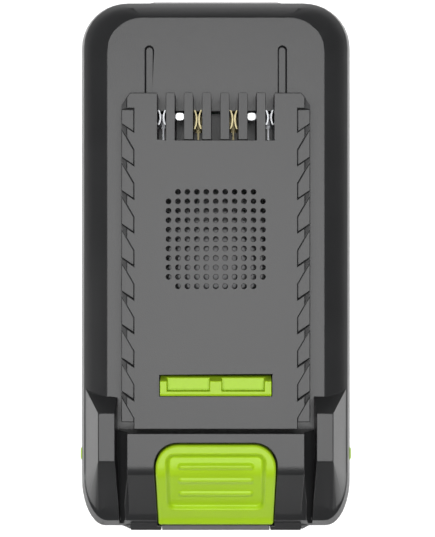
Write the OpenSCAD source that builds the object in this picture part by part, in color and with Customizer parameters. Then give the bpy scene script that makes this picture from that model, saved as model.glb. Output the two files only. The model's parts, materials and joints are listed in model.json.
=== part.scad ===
// Slide-on rechargeable battery pack for cordless tools and garden machines.
// It lies on its flat base with the sliding face up. X runs across the pack, +Y points to the
// contact end, -Y to the release button, and +Z away from the base. Millimetres.

/* [Housing] */
// Width across the straight side walls
body_w = 80; // [78:1:100]
// Length from the nose to the far wall, without the end pad
body_l = 157; // [155:1:200]
// Height of the flat sliding face above the base
plate_z = 57; // [56:1:75]
// Height at which the base shell and the cover meet
split_z = 34; // [28:1:38]
// Thickness of the shell walls
wall = 3; // [2:0.1:3.4]
// Radius of the far corners in plan
far_corner_r = 13.4; // [8:0.1:18]
// Reach of each nose corner across the pack
nose_corner_x = 7; // [5:0.1:12]
// Reach of each nose corner along the pack
nose_corner_y = 14; // [8:0.1:20]
// Drop of the shoulder from the sliding face to the side walls
shoulder_h = 8; // [5:0.5:10]
// Width of the shoulder along the sides
shoulder_side = 8.3; // [6:0.1:10]
// Width of the shoulder at the far end
shoulder_end = 5.9; // [4:0.1:9]
// Radius of the sliding face's far corners
plate_corner_r = 10.2; // [6:0.1:14]
// Rounding of the edge round the base
base_edge = 4; // [2:0.5:6]

/* [Slide rails] */
// Height of the rail block above the sliding face
rail_h = 8; // [7:0.5:10]
// Width over the rail flanges
flange_w = 54; // [50:0.5:56]
// Thickness of each flange
flange_t = 3.2; // [2.4:0.1:3.4]
// Width of the neck under the flanges
neck_w = 47; // [44:0.5:48]
// Distance from the far wall to the front of the rails
rail_setback = 29.2; // [24:0.1:40]
// Width of the slope along each flange's top edge
flange_slope = 1.7; // [1:0.1:2]
// Thickness of the ledge left under each saw-tooth pocket
ledge_t = 1.4; // [1:0.1:2]
// Distance between saw-tooth pockets
tooth_pitch = 9.54; // [8:0.02:12]
// Depth of the pockets into the flange
pocket_depth = 3.7; // [3:0.1:4]
// Distance between the two guide grooves ahead of the rails
groove_gap = 38.8; // [36:0.1:44]
// Length of each guide groove
groove_l = 14.9; // [8:0.1:16]
// Width of each guide groove
groove_w = 2.3; // [1.5:0.1:3]
// Depth of each guide groove
groove_d = 1.5; // [1:0.1:2]

/* [Contacts] */
// Number of contact slots
slot_count = 7; // [7]
// Distance between slot centres
slot_pitch = 5.15; // [4.8:0.05:5.6]
// Width of each slot
slot_w = 2.55; // [2.3:0.05:2.8]
// Length of the slots behind the rails' front edge
slot_l = 13.5; // [12:0.1:15]
// Length of the open lead-in at the front of the slots
lead_in = 4; // [3:0.1:5]
// Thickness of the spring metal in the contacts
contact_t = 0.4; // [0.3:0.05:0.5]

/* [Vent] */
// Holes along each side of the vent's square
vent_n = 11; // [7:2:13]
// Distance between vent holes
vent_pitch = 2.68; // [2.4:0.02:3]
// Diameter of each vent hole
vent_d = 1.4; // [1:0.1:1.8]
// Distance from the rails' front edge to the vent's centre
vent_setback = 41.6; // [38:0.1:50]

/* [Latch] */
// Travel of the release button and the latch tooth
latch_travel = 4; // [3:0.1:4]
// Height of the tooth above the rails
tooth_proud = 3; // [2:0.1:3.5]
// Width of the latch tooth
latch_tooth_w = 31.4; // [26:0.1:34]
// Length of the latch tooth along the pack
latch_tooth_l = 5.5; // [4:0.1:7]
// Distance from the end of the nose to the back of the tooth
latch_tooth_back = 41.85; // [41:0.1:46]
// Width of the release button
button_w = 34.2; // [30:0.1:38]
// Height of the release button above the nose
button_proud = 0.8; // [0.4:0.1:1.5]
// Width of the thumb recess in the button
recess_w = 26.4; // [22:0.2:28]
// Length of the thumb recess, seen from above
recess_l = 18; // [16:0.2:18.4]
// Width of the grip ribs in the thumb recess
grip_w = 20.6; // [16:0.2:22]
// Gap round the tooth and the button
latch_gap = 0.35; // [0.3:0.05:0.5]
// Diameter of the latch springs
spring_d = 6.4; // [5:0.1:7]
// Diameter of the spring wire
spring_wire = 0.7; // [0.5:0.05:0.8]
// Working turns of each latch spring
spring_turns = 6; // [4:1:8]

/* [Nose] */
// Length of the raised nose, measured at its foot
nose_l = 44.05; // [42:0.05:50]
// Length of the slope at the back of the nose
nose_back_slope = 7.3; // [5:0.1:9]
// Distance from the end of the nose to the front of the centre block
centre_l = 31.05; // [28:0.05:34]
// Width of the centre block that holds the button
centre_w = 50.6; // [48:0.1:52]
// Width over the two side ribs
rib_span = 66.8; // [60:0.1:70]
// Width of the gap between each side rib and the centre block
rib_gap = 3.3; // [2:0.1:4]
// Length of the nose's slope down to its end
nose_slope_l = 18.5; // [16:0.1:22]
// Height lost down that slope
nose_drop = 13.8; // [12:0.1:15]
// Step of the centre block beyond the side ribs at the end of the nose
nose_step = 1.1; // [0.5:0.1:2]

/* [Cells] */
// Cells in each of the two rows
row_cells = 7; // [7]
// Radius of one cell
cell_r = 9.1; // [9:0.1:9.2]
// Length of one cell
cell_l = 65; // [60:0.5:66]
// Distance between neighbouring cells
cell_pitch = 18.8; // [18.5:0.1:19]
// Free length between the cells and the far wall
far_room = 8.5; // [8.4:0.1:12]
// Gap kept between pieces that are only laid beside each other
ease = 0.2; // [0.1:0.05:0.3]
// Thickness of the nickel straps
strap_t = 0.3; // [0.2:0.05:0.4]
// Thickness of the insulating sheets
sheet_t = 0.5; // [0.3:0.1:0.8]
// Thickness of the holder past the first and last cells
holder_end = 0.6; // [0.4:0.1:0.8]
// Length of each cell that its holder grips
grip_l = 11; // [8:0.5:14]

/* [Electronics] */
// Thickness of the circuit board
board_t = 1.6; // [1.2:0.2:2]
// Width of the circuit board
board_w = 54; // [48:1:58]
// Height of the stand-offs under the circuit board
standoff_h = 2.5; // [2:0.1:3]
// Width and length of the shield under the vent
shield_w = 35; // [31:1:36]

/* [Charge gauge] */
// Width of the gauge bezel
gauge_w = 32; // [28:0.5:33]
// Height of the gauge bezel
gauge_h = 14.6; // [13:0.1:14.8]
// Number of charge lights
light_count = 4; // [3:1:5]
// Diameter of the check button
check_d = 5; // [4:0.1:5.2]
// Height of the slot that shows the charge lights
light_slot_h = 4.8; // [4:0.1:5.2]
// Travel of the check button
check_travel = 0.6; // [0.4:0.1:0.8]

/* [Fasteners] */
// Radius of the housing screws
screw_r = 1.5; // [1.2:0.1:1.6]
// Radius of the posts and bosses round the screws
post_r = 3.6; // [3.2:0.1:3.7]
// Distance from the centre line to each screw
screw_x = 24; // [22:0.5:26]

/* [Trim] */
// Height of the end pad above the far wall
pad_proud = 1; // [0.5:0.1:2]
// Width of the end pad
pad_w = 45; // [36:1:50]
// Height of the side inserts above the side walls
accent_proud = 0.45; // [0.3:0.05:0.8]
// Length of each side insert along the pack
accent_l = 4.2; // [3:0.1:6]
// Width of the rating label under the base
label_w = 56; // [40:1:56]
// Length of the rating label
label_l = 90; // [60:1:100]

/* [Hidden] */
$fn = 64;

// Colours
housing_grey = [0.30, 0.30, 0.31];
lime = [0.62, 0.80, 0.12];
cell_green = [0.20, 0.45, 0.30];

// Ends of the pack along Y, with the origin under the middle of the whole length
nose_y = -(body_l + pad_proud) / 2;
far_y = nose_y + body_l;
half_w = body_w / 2;
inner_w = half_w - wall;
// Overlap that joins neighbouring solids, reach of a cut beyond a face, and facets of small rounds
eps = 0.01;
cut = 1;
small_fn = 24;

// Levels
shoulder_z = plate_z - shoulder_h;
rail_z = plate_z + rail_h;
flange_z = rail_z - flange_t;
ledge_z = flange_z + ledge_t;
ceiling_z = plate_z - wall;
rail_ceiling_z = rail_z - wall;

// Rails and contacts
rail_front_y = far_y - rail_setback;
centre_y = nose_y + centre_l;
rail_gap = 1.1;
rail_back_y = centre_y + rail_gap;
flange_back = 1.8;
front_chamfer = 2.7;
first_pocket = 4.5;
first_pocket_l = 4.1;
pocket_nose = 1.2;
pocket_rise = 2.5;
pocket_fall = 6.4;
pocket_count = ceil((rail_front_y - first_pocket - first_pocket_l - rail_back_y) / tooth_pitch);
slot_back_y = rail_front_y - slot_l;
lead_in_y = rail_front_y - lead_in;
// The inner contact dividers stand in one window, from slot 2 to slot 6
window_w = slot_pitch * (slot_count - 3) + slot_w;
vent_y = rail_front_y - vent_setback;
// Half widths of the bays under the rails and the contacts, and the fit of the terminal block in its bay
rail_bay = 20.5;
contact_bay = 18.3;
block_gap = 0.2;
block_half = contact_bay - block_gap - 0.1;
block_back = 1.8;
block_wall = 1.2;
divider_round = 0.5;
divider_gap = 0.05;
contact_floor_z = ceiling_z - 2;
contact_top_z = rail_ceiling_z - 1;
// Foot and tail of each contact, and the screw between two of them
foot_half = 1.1;
foot_t = 0.5;
tail_half = 0.25;
tail_h = 1.2;
post_screw = [0.7, 1.2];

// Nose
rib_back_y = nose_y + nose_l - nose_back_slope;
nose_flat_y = nose_y + 22;
lip_round = 0.6;
lip_l = 3.3;
lip_z = rail_z - nose_drop - lip_round;
side_end_y = nose_y + nose_step;
// Length of the bend into the slope, its angle, and the flare of the centre block's step
nose_bend = 3;
bend_angle = 40;
step_flare = 2.5;
step_taper = 0.5;
// Depth of the rib channel at the centre block and at the side rib, under the flat of the nose
channel_in = 1.5;
channel_out = 6.5;
// Depth of the channel's outer edge under the lip at the end of the nose, and the roof kept under it
channel_end = 2.6;
channel_roof = 2.5;
// Thickness of the nose over the latch, and half the width of the space under it
nose_skin = 2.5;
nose_back_wall = 2;
nose_bay = 22.5;
latch_bay_h = 9;
shoulder_sweep = 60;

// Cells, holders and what lies on them
strap_half = 3.6;
lead_r = 1.4;
lead_bend = 3;
pole_h = 0.8;
pole_r = 3.2;
sheet_inset = 2;
foam_half = 18;
stack_l = (row_cells - 1) * cell_pitch + 2 * cell_r;
stack_far_y = far_y - wall - far_room;
stack_near_y = stack_far_y - stack_l;
under_cells = 0.9;
low_z = wall + under_cells + cell_r;
high_z = low_z + cell_pitch;
holder_top = high_z + cell_r + 1;
holder_x = cell_l / 2;
lead_x = holder_x - lead_r;
lead_z = holder_top + lead_r;
strap_x = holder_x + strap_t;
sheet_x = strap_x + sheet_t;
board_z = holder_top + standoff_h;
board_top = board_z + board_t;
board_far_y = rail_front_y + 9;
board_near_y = vent_y - 33;
board_screw_x = board_w / 2 - 3;
board_screw_ys = [board_near_y + 3, board_far_y - 3];
board_screw_r = 1.2;
board_screw_head = [2.1, 1.2];
standoff_half = 2.6;
// Sizes of the pieces on the board: width, length and height
transistor = [6.6, 8, 2.4];
transistor_tab = [7.4, 6.4, 0.4];
transistor_pitch = 10.4;
transistor_x = 19;
capacitor_r = 4;
capacitor_h = 7.5;
capacitor_at = [-8, vent_y - 25];
crimp = 0.3;
shunt_x = [2, 14];
shunt_y = vent_y - 28;
shunt_l = 6;
shunt_h = 2.4;
connector_x = [-25.5, -20];
connector_y = vent_y + 18.6;
connector_l = 10.4;
connector_h = 5;
chip_w = 10;
chip_l = 7;
chip_h = 1.5;
chip_pins = 6;
chip_pin_pitch = 1.1;
shield_t = 0.5;
harness_t = 0.9;
wire_r = 0.5;
bead_r = 1.3;
bead_x = -8;
bead_lead = 6;

// Latch
tooth_y = nose_y + latch_tooth_back;
latch_base_t = 1;
seat_z = holder_top + latch_base_t;
press_room = 0.4;
bridge_z = seat_z + latch_travel + press_room;
bridge_t = 3;
bridge_half = 16;
bridge_end_y = nose_y + 9.8;
button_back_y = centre_y - 3.2;
button_end_y = nose_y + 1.8;
button_corner_r = 6.5;
button_draft = 0.2;
button_wall = 2.5;
skirt_z = bridge_z + bridge_t;
skirt_drop = 1.3;
skirt_gap = 0.3;
// Springs stand clear of the button's back wall
spring_x = 9;
spring_gap = 0.4;
// Least width of the base plate past the springs
spring_rim = 1;
spring_y = button_back_y - button_wall - spring_d / 2 - spring_gap;
spring_peg_h = 3;
cup_h = 4.6;
cup_wall = 1.1;
cup_gap = 0.3;
cup_z = rail_z - button_wall - cup_h;
spring_l = cup_z - seat_z;
spring_rings = 18;
spring_sides = 8;
// Thumb recess and grip ribs, from the button's back edge
recess_d = 1;
recess_r = 2.4;
recess_back = 2.7;
grip_t = 1.6;
grip_root = 0.2;
grip_rows = [5.3, 9.9, 14.4];
// Tooth: chamfers, the panels in its leading face and the coring from below
tooth_edge = 0.6;
tooth_ramp = [1.2, 3.4];
panel_x = [1.7, 13.7];
panel_y = 1.5;
panel_d = 2.2;
core_web = 1.2;
core_wall = 1.6;

// Gauge and screws
bezel_t = 3;
bezel_face_t = 1.4;
bezel_step = 6.4;
bezel_leg = 1.6;
bezel_hook = 1.5;
bezel_x = gauge_w / 2;
gauge_z = lip_z - gauge_h;
check_x = 10;
check_z = gauge_z + 3.9;
check_gap = 0.3;
check_stem_r = 1.3;
light_slot_left = 2 - bezel_x;
light_slot_x = 4.6;
light_edge = 4.4;
light_half = [0.9, 1];
lens_gap = 0.05;
lens_inset = 0.4;
gauge_board_y = nose_y + 8.4;
gauge_board_t = 1.2;
switch_half = 2.6;
switch_h = 1.6;
switch_pin = 0.6;
screw_far_y = far_y - wall - post_r - 0.5;
screw_near_y = nose_y + wall + post_r + 1.5;
head_z = 20;
screw_depth = 8;
screw_top = split_z + screw_depth;
screw_head_r = screw_r * 1.75;
screw_head_h = 2.6;
socket = [1.3, 1.9];
seam_h = 2;
seam_t = 1.3;
seam_gap = 0.1;
tongue_l = 4;
rib_half = 1;
rib_top_gap = 6;

// Trim
pad_z = [split_z + 3, shoulder_z - 2];
pad_taper = 4;
accent_z = split_z + 2.5;
accent_h = shoulder_z - 0.5 - accent_z;
accent_y = nose_flat_y - 1.6;
accent_taper = 0.7;
label_pocket_d = 0.5;
label_t = 0.3;

function arc_points(cx, cy, rx, ry, from, to, n = 10) =
    [for (i = [0:n]) let (a = from + (to - from) * i / n) [cx + rx * cos(a), cy + ry * sin(a)]];

// Plan of a box with round far corners of radius fr and elliptic nose corners nx by ny
function plan(hw, y0, y1, fr, nx, ny) = concat(
    arc_points(hw - fr, y1 - fr, fr, fr, 0, 90),
    arc_points(fr - hw, y1 - fr, fr, fr, 90, 180),
    arc_points(nx - hw, y0 + ny, nx, ny, 180, 270),
    arc_points(hw - nx, y0 + ny, nx, ny, 270, 360));

// Plan of the housing set in by d all round
function body_plan(d) = plan(half_w - d, side_end_y + d, far_y - d, far_corner_r - d,
    nose_corner_x - d, nose_corner_y - d);

// Step of the centre block at the end of the nose, set in by d
function step_plan(d) = let (wide = centre_w / 2 + step_flare - d, narrow = centre_w / 2 + step_taper - d)
    [[-wide, side_end_y + wall], [-wide, side_end_y + d], [-narrow, nose_y + d], [narrow, nose_y + d],
    [wide, side_end_y + d], [wide, side_end_y + wall]];

// Side view of the nose's top, lowered by d: flat, a bend, the slope and the lip
function nose_top(d) = concat(
    [for (a = [0:bend_angle / 6:bend_angle + eps])
        [nose_flat_y - nose_bend * sin(a) / sin(bend_angle), rail_z - d - nose_bend * (1 - cos(a))]],
    [[nose_y + lip_l, lip_z + lip_round - d], [nose_y, lip_z - d]]);

module layer(z, points) translate([0, 0, z]) linear_extrude(eps) polygon(points);
module slab(z0, z1, points) translate([0, 0, z0]) linear_extrude(z1 - z0) polygon(points);
module box(x0, x1, y0, y1, z0, z1) translate([x0, y0, z0]) cube([x1 - x0, y1 - y0, z1 - z0]);
// Extrudes a side view, given as Y and Z, across the pack
module across(x0, x1) translate([x0, 0, 0]) rotate([90, 0, 90]) linear_extrude(x1 - x0) children();
// Extrudes a front view, given as X and Z, along the pack
module along(y0, y1) translate([0, y1, 0]) rotate([90, 0, 0]) linear_extrude(y1 - y0) children();
module both_sides() { children(); mirror([1, 0, 0]) children(); }
module rod(x, y, z0, z1, r) translate([x, y, z0]) cylinder(h = z1 - z0, r = r);
module rod_x(x0, x1, y, z, r) translate([x0, y, z]) rotate([0, 90, 0]) cylinder(h = x1 - x0, r = r);
module rod_y(x, y0, y1, z, r) translate([x, y1, z]) rotate([90, 0, 0]) cylinder(h = y1 - y0, r = r);

// ---------------------------------------------------------------- cover

// Shoulder that rises from the side walls and meets the sliding face at a crisp edge
module shoulder() hull()
    for (t = [0:shoulder_sweep / 3:shoulder_sweep]) {
        f = (1 - cos(t)) / (1 - cos(shoulder_sweep));
        layer(shoulder_z - eps + shoulder_h * sin(t) / sin(shoulder_sweep), plan(half_w - shoulder_side * f,
            side_end_y + nose_slope_l * f, far_y - shoulder_end * f,
            far_corner_r + (plate_corner_r - far_corner_r) * f, nose_corner_x, nose_corner_y));
    }

// Outer part of the nose with its sloping sides
module nose_flanks() hull() {
    layer(shoulder_z, plan(half_w, side_end_y, nose_y + nose_l, eps, nose_corner_x, nose_corner_y));
    layer(rail_z - eps, [[-rib_span / 2, nose_flat_y + cut], [rib_span / 2, nose_flat_y + cut],
        [rib_span / 2, rib_back_y], [-rib_span / 2, rib_back_y]]);
}

module nose_centre() across(-centre_w / 2, centre_w / 2)
    polygon(concat([[nose_y, shoulder_z - wall], [centre_y, shoulder_z - wall], [centre_y, rail_z]], nose_top(0)));

// Space over the nose's side view, used to cut down to a lowered top
module above_nose(d, x0, x1) across(x0, x1)
    polygon(concat(nose_top(d), [[nose_y - cut, lip_z - d], [nose_y - cut, rail_z + nose_l],
        [centre_y + nose_l, rail_z + nose_l], [centre_y + nose_l, rail_z - d]]));

// Channel between the side rib and the centre block, with a floor that falls outwards
module rib_channel() {
    inner = centre_w / 2;
    outer = inner + rib_gap;
    slope_l = nose_flat_y - nose_y;
    fall = atan((lip_z - channel_end + channel_out - rail_z) / slope_l);
    run = slope_l / cos(fall);
    section = [[inner, nose_l], [inner, -channel_in], [outer, -channel_out], [outer, nose_l]];
    along(nose_flat_y, rib_back_y + nose_back_slope + cut) translate([0, rail_z]) polygon(section);
    translate([0, nose_flat_y, rail_z]) rotate([-fall, 0, 0])
        translate([0, -run, 0]) along(0, run + cut) polygon(section);
    box(0, outer, centre_y, rib_back_y + nose_back_slope + cut, plate_z, rail_z + cut);
}

// One saw-tooth pocket in the right flange, counted from the front
module pocket(i) {
    y = rail_front_y - first_pocket - first_pocket_l - i * tooth_pitch;
    x0 = flange_w / 2 - pocket_depth;
    x1 = flange_w / 2 + cut;
    top_y = i == 0 ? y + first_pocket_l : y + tooth_pitch - pocket_nose;
    inner_y = i == 0 ? top_y : top_y - pocket_fall;
    slope = pocket_rise / pocket_depth;
    slab(ledge_z, rail_z + cut, [[x1, top_y], [x1 - cut, top_y], [x0, inner_y], [x0, y - pocket_rise],
        [x1 - cut, y], [x1, y + cut * slope]]);
}

module rail_block() {
    half = flange_w / 2;
    neck = neck_w / 2;
    back = half - pocket_depth;
    back_y = rail_back_y + flange_back;
    front = half - front_chamfer;
    front_y = rail_front_y - front_chamfer * 1.2;
    intersection() {
        along(rail_back_y, rail_front_y) polygon([[-neck, plate_z - cut], [-neck, flange_z], [-half, flange_z],
            [-half, ledge_z], [flange_slope - half, rail_z], [half - flange_slope, rail_z], [half, ledge_z],
            [half, flange_z], [neck, flange_z], [neck, plate_z - cut]]);
        slab(plate_z - 2 * cut, rail_z + cut, [[half, front_y], [front, rail_front_y], [-front, rail_front_y],
            [-half, front_y], [-half, back_y], [-back, back_y], [-back, rail_back_y], [back, rail_back_y],
            [back, back_y], [half, back_y]]);
    }
}

module guide_groove() {
    x = groove_gap / 2;
    r = groove_w / 2;
    end_y = rail_front_y + groove_l - r;
    box(x - r, x + r, rail_front_y, end_y, plate_z - groove_d, plate_z + cut);
    rod(x, end_y, plate_z - groove_d, plate_z + cut, r);
}

module vent_holes() {
    half = (vent_n - 1) / 2;
    for (i = [-half:half], j = [-half:half])
        if (abs(i) + abs(j) < 2 * half)
            rod(i * vent_pitch, vent_y + j * vent_pitch, rail_ceiling_z - cut, rail_z + cut, vent_d / 2);
}

module contact_slots() {
    outer = (slot_count - 1) / 2 * slot_pitch;
    for (slot = [[-outer, slot_w], [0, window_w], [outer, slot_w]])
        let (x0 = slot[0] - slot[1] / 2, x1 = slot[0] + slot[1] / 2) {
            box(x0, x1, slot_back_y, lead_in_y, rail_ceiling_z - cut, rail_z + cut);
            box(x0, x1, lead_in_y - eps, rail_front_y + cut, plate_z, rail_z + cut);
        }
}

// Outline of the release button in plan, grown by d
function button_plan(d) = let (w = button_w / 2 + d, r = button_corner_r, y = button_back_y + d) concat(
    arc_points(w - r, y - r, r, r, 0, 90), arc_points(r - w, y - r, r, r, 90, 180),
    [[button_draft - w, button_end_y - d], [w - button_draft, button_end_y - d]]);

module cover_cavity() {
    block_y = slot_back_y - block_back - block_gap;
    roof_z = lip_z - channel_end - channel_roof;
    slab(split_z - cut, roof_z, body_plan(wall));
    intersection() {
        union() {
            slab(roof_z - eps, shoulder_z, body_plan(wall));
            slab(shoulder_z - eps, ceiling_z, body_plan(wall + shoulder_side / 3));
        }
        box(-half_w, half_w, nose_flat_y + cut, far_y, roof_z - eps, ceiling_z);
    }
    // Under the rails, the contacts and the nose
    box(-rail_bay, rail_bay, rail_back_y + wall, block_y, ceiling_z - eps, rail_ceiling_z);
    box(-contact_bay, contact_bay, block_y - eps, lead_in_y, ceiling_z - eps, rail_ceiling_z);
    intersection() {
        box(-nose_bay, nose_bay, nose_y + wall, centre_y - nose_back_wall, ceiling_z - latch_bay_h, rail_z);
        across(-nose_bay - cut, nose_bay + cut) polygon(concat([[nose_y, ceiling_z - latch_bay_h],
            [centre_y, ceiling_z - latch_bay_h], [centre_y, rail_z - nose_skin]], nose_top(nose_skin)));
    }
}

module interface_cover() color(housing_grey) {
    difference() {
        union() {
            slab(split_z, shoulder_z, body_plan(0));
            slab(split_z, shoulder_z, step_plan(0));
            difference() {
                union() { shoulder(); nose_flanks(); }
                both_sides() rib_channel();
                box(-centre_w / 2, centre_w / 2, nose_y - cut, centre_y + nose_l, plate_z, rail_z + cut);
            }
            nose_centre();
            difference() {
                rail_block();
                both_sides() for (i = [0:pocket_count - 1]) pocket(i);
            }
        }
        cover_cavity();
        both_sides() guide_groove();
        vent_holes();
        contact_slots();
        // Latch window and release button window
        box(-latch_tooth_w / 2 - latch_gap, latch_tooth_w / 2 + latch_gap, tooth_y - latch_gap,
            tooth_y + latch_tooth_l + latch_gap, rail_ceiling_z - cut, rail_z + cut);
        slab(skirt_z - latch_travel - bridge_t, rail_z + cut, button_plan(latch_gap));
        // Gauge opening in the end of the nose
        box(-bezel_x - ease, bezel_x + ease, nose_y - cut, side_end_y + wall + cut, gauge_z - ease, lip_z + cut);
        // Seam recess, pad recess and side insert recesses
        slab(split_z - cut, split_z + seam_h + seam_gap, body_plan(wall - seam_t - seam_gap));
        box(-pad_w / 2 - ease, pad_w / 2 + ease, far_y - cut, far_y + cut, pad_z[0] - ease, pad_z[1] + ease);
        both_sides() box(half_w - cut, half_w + cut, accent_y, accent_y + accent_l, accent_z, accent_z + accent_h);
    }
    // Bosses for the housing screws
    both_sides() for (y = [screw_far_y, screw_near_y]) difference() {
        rod(screw_x, y, split_z + seam_gap, y > 0 ? ceiling_z : shoulder_z + eps, post_r);
        rod(screw_x, y, split_z, screw_top, screw_r);
    }
}

// ---------------------------------------------------------------- base

module base_shell() color(housing_grey) {
    difference() {
        union() {
            hull() for (t = [0:30:90]) let (d = base_edge * (1 - sin(t)), z = base_edge * (1 - cos(t)))
                layer(z, body_plan(d));
            slab(base_edge, split_z, body_plan(0));
            slab(base_edge, split_z, step_plan(0));
        }
        slab(wall, split_z + cut, body_plan(wall));
        // Recess for the rating label
        box(-label_w / 2 - ease, label_w / 2 + ease, -label_l / 2 - ease, label_l / 2 + ease, -cut, label_pocket_d);
        both_sides() for (y = [screw_far_y, screw_near_y]) rod(screw_x, y, -cut, split_z + cut, post_r - 0.5);
    }
    // Tongue that enters the cover
    difference() {
        slab(split_z - tongue_l, split_z + seam_h, body_plan(wall - seam_t));
        slab(split_z - tongue_l - cut, split_z + seam_h + cut, body_plan(wall));
    }
    // Screw posts, counterbored from below
    both_sides() for (y = [screw_far_y, screw_near_y]) difference() {
        rod(screw_x, y, 0, split_z, post_r);
        rod(screw_x, y, -cut, head_z, screw_head_r + ease);
        rod(screw_x, y, 0, split_z + cut, screw_r + ease);
    }
    // Ribs that hold the cell block sideways
    both_sides() for (i = [0:row_cells - 1])
        box(sheet_x + ease, inner_w + eps, cell_y(i) - rib_half, cell_y(i) + rib_half, wall, split_z - rib_top_gap);
}

module end_pad() color([0.74, 0.74, 0.74]) slab(pad_z[0], pad_z[1],
    [[-pad_w / 2, far_y - cut], [pad_w / 2, far_y - cut], [pad_w / 2, far_y],
    [pad_w / 2 - pad_taper, far_y + pad_proud], [pad_taper - pad_w / 2, far_y + pad_proud], [-pad_w / 2, far_y]]);

module side_accent() color(lime) translate([0, 0, accent_z]) linear_extrude(accent_h)
    polygon([[half_w - cut, accent_y], [half_w, accent_y], [half_w + accent_proud, accent_y + accent_taper],
    [half_w + accent_proud, accent_y + accent_l - accent_taper], [half_w, accent_y + accent_l],
    [half_w - cut, accent_y + accent_l]]);
module accent_left() mirror([1, 0, 0]) side_accent();
module accent_right() side_accent();

module rating_label() color([0.78, 0.79, 0.80]) box(-label_w / 2, label_w / 2, -label_l / 2, label_l / 2,
    label_pocket_d - label_t, label_pocket_d);

module housing_screws() color([0.55, 0.56, 0.58])
    both_sides() for (y = [screw_far_y, screw_near_y]) difference() {
        union() {
            rod(screw_x, y, head_z - screw_head_h, head_z, screw_head_r);
            rod(screw_x, y, head_z - eps, screw_top - 0.5, screw_r);
        }
        translate([screw_x, y, head_z - screw_head_h - eps]) cylinder(h = socket[1], r = socket[0], $fn = 6);
    }

// ---------------------------------------------------------------- contacts

// Dividers between the contact slots, with the outer ones ending under the cover
module terminal_block() color([0.24, 0.24, 0.25]) {
    floor_z = contact_floor_z - eps;
    top_z = rail_ceiling_z - block_gap;
    front_y = lead_in_y - block_gap;
    back_y = slot_back_y - block_gap;
    divider = slot_pitch - slot_w;
    tip_y = rail_front_y - divider_round;
    box(-block_half, block_half, slot_back_y - block_back, front_y, board_top, contact_floor_z);
    box(-block_half, block_half, slot_back_y - block_back, back_y, floor_z, top_z);
    both_sides() {
        translate([2.5 * slot_pitch, 0, 0]) box(-divider / 2, divider / 2, back_y - eps, front_y, floor_z, top_z);
        box(block_half - block_wall, block_half, back_y - eps, front_y, floor_z, top_z);
        for (k = [0.5, 1.5]) translate([k * slot_pitch - divider / 2, 0, 0]) {
            box(0, divider, back_y - eps, front_y, floor_z, top_z);
            box(0, divider, slot_back_y + block_gap, front_y, top_z - eps, rail_z);
            box(0, divider, front_y - eps, tip_y, plate_z + divider_gap, rail_z);
            box(divider_round, divider - divider_round, tip_y - eps, rail_front_y, plate_z + divider_gap, rail_z);
            for (x = [divider_round, divider - divider_round])
                rod(x, tip_y, plate_z + divider_gap, rail_z, divider_round);
        }
    }
}

// Curved leaf of one contact, bowed towards the slot's middle
module leaf(bow, length) {
    r = (pow(length / 2, 2) + pow(bow, 2)) / (2 * bow);
    intersection() {
        translate([r, 0]) difference() { circle(r); circle(r - contact_t); }
        translate([-eps, -length / 2]) square([bow + 2 * contact_t, length]);
    }
}
module contact(x, bow, gap, length) {
    y = lead_in_y - 2 * block_gap - length / 2;
    floor_z = contact_floor_z;
    for (side = [0, 1]) translate([x, y, floor_z]) mirror([side, 0, 0]) linear_extrude(contact_top_z - floor_z)
        translate([gap / 2, 0]) leaf(bow, length);
    box(x - foot_half, x + foot_half, y - length / 2, y + length / 2, floor_z, floor_z + foot_t);
    box(x - tail_half, x + tail_half, slot_back_y + block_gap, y, floor_z, floor_z + tail_h);
}
module power_contact_positive() color([0.85, 0.86, 0.88]) contact(-3 * slot_pitch, 0.5, 0.5, 4.2);
module power_contact_negative() color([0.85, 0.86, 0.88]) contact(3 * slot_pitch, 0.5, 0.5, 4.2);
module signal_contact_left() color([0.80, 0.62, 0.28]) contact(-slot_pitch, 0.55, 0.3, 5.4);
module signal_contact_right() color([0.80, 0.62, 0.28]) contact(slot_pitch, 0.55, 0.3, 5.4);

module terminal_screws() color([0.9, 0.9, 0.92]) both_sides() {
    y = lead_in_y - slot_w / 2 - 1;
    neck_z = rail_ceiling_z - 2;
    rod(2 * slot_pitch, y, contact_floor_z, neck_z, post_screw[0]);
    rod(2 * slot_pitch, y, neck_z - eps, neck_z + post_screw[1], slot_w / 2 - 2 * eps);
}

// ---------------------------------------------------------------- electronics

module circuit_board() color([0.08, 0.30, 0.16]) difference() {
    box(-board_w / 2, board_w / 2, board_near_y, board_far_y, board_z, board_top);
    both_sides() for (y = board_screw_ys) rod(board_screw_x, y, board_z - cut, board_top + cut, board_screw_r);
}
module board_screws() color([0.6, 0.6, 0.62])
    both_sides() for (y = board_screw_ys) {
        rod(board_screw_x, y, holder_top, board_top, board_screw_r);
        rod(board_screw_x, y, board_top, board_top + board_screw_head[1], board_screw_head[0]);
    }
module board_shield() color([0.42, 0.42, 0.43])
    box(-shield_w / 2, shield_w / 2, vent_y - shield_w / 2, vent_y + shield_w / 2, board_top, board_top + shield_t);
module power_transistors() color([0.12, 0.12, 0.13])
    both_sides() for (j = [-1:1])
        translate([transistor_x, vent_y + transistor_pitch * j - transistor[1] / 2, board_top]) {
            cube(transistor);
            translate([0, (transistor[1] - transistor_tab[1]) / 2, 0]) cube(transistor_tab);
        }
module filter_capacitor() color([0.10, 0.16, 0.35]) {
    top_z = board_top + capacitor_h;
    rod(capacitor_at[0], capacitor_at[1], board_top, top_z - crimp, capacitor_r);
    rod(capacitor_at[0], capacitor_at[1], top_z - crimp - eps, top_z, capacitor_r - 2 * crimp);
}
module current_shunt() color([0.72, 0.52, 0.36]) difference() {
    box(shunt_x[0], shunt_x[1], shunt_y, shunt_y + shunt_l, board_top, board_top + shunt_h);
    box(shunt_x[0] + 2, shunt_x[1] - 2, shunt_y - cut, shunt_y + shunt_l + cut, board_top - cut,
        board_top + shunt_h / 2);
}
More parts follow.
